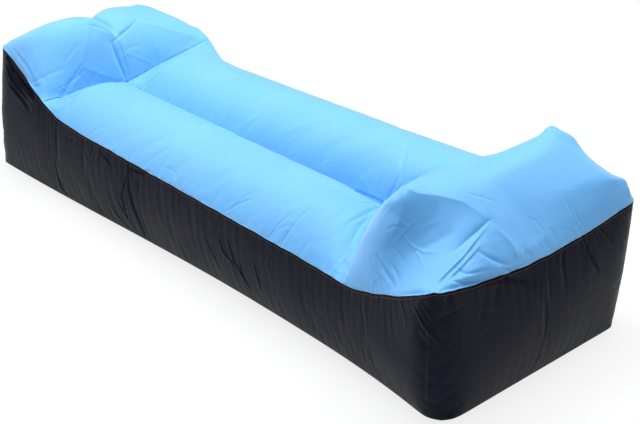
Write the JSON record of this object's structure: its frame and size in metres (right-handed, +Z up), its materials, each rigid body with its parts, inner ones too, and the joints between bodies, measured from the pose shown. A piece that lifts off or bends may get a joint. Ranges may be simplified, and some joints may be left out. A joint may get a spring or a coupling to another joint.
{
  "type": "inflatable air lounger",
  "caption": "Long air-filled cloth lounger with seat tubes, a raised lobed head end, a raised foot bolster, and a rolled mouth clipped shut by a buckle.",
  "frame": {"origin": "on the floor, under the middle of the air-filled body", "axes": "+Z up, +X along the body towards the foot bolster, -Y towards the near side in the picture"},
  "size_m": [2.5047, 0.7796, 0.547],
  "materials": {
    "blue_cloth": "satin",
    "black_cloth": "satin",
    "webbing": "matte",
    "plastic": "satin"
  },
  "bodies": {
    "lounger": {"head_lobe_near": "blue_cloth", "head_lobe_far": "blue_cloth", "seat_tube_near": "blue_cloth", "seat_tube_far": "blue_cloth", "foot_bolster": "blue_cloth", "side_panel_near": "black_cloth", "side_panel_far": "black_cloth", "head_end_panel": "black_cloth", "foot_end_panel": "black_cloth", "bottom_panel": "black_cloth", "mouth_neck": "black_cloth", "mouth_roll": "black_cloth", "centre_web": "black_cloth", "head_centre_web": "black_cloth", "head_web": "black_cloth", "foot_web": "black_cloth", "socket_webbing": "webbing", "plug_webbing": "webbing", "lip_strip_outer": "plastic", "lip_strip_inner": "plastic", "buckle_socket": "plastic"},
    "plug": {"buckle_plug": "plastic"},
    "upper_prong": {"upper_prong": "plastic"},
    "lower_prong": {"lower_prong": "plastic"}
  },
  "joints": [
    {"name": "plug_slide", "type": "slide", "parent": "lounger", "child": "plug", "axis": [0, 1, 0], "range_m": [0, 0.029], "deforming": ["plug_webbing", "upper_prong", "lower_prong"]},
    {"name": "upper_prong_flex", "type": "hinge", "parent": "plug", "child": "upper_prong", "pos_m": [-1.36613, 0.0035, 0.2095], "axis": [1, 0, 0], "range_deg": [0, 9], "stiffness_Nm_per_rad": 0.4},
    {"name": "lower_prong_flex", "type": "hinge", "parent": "plug", "child": "lower_prong", "pos_m": [-1.36613, 0.0035, 0.1905], "axis": [1, 0, 0], "range_deg": [-9, 0], "stiffness_Nm_per_rad": 0.4}
  ],
  "couplings": [
    {"joint": "lower_prong_flex", "follows": "upper_prong_flex", "ratio": -1}
  ]
}
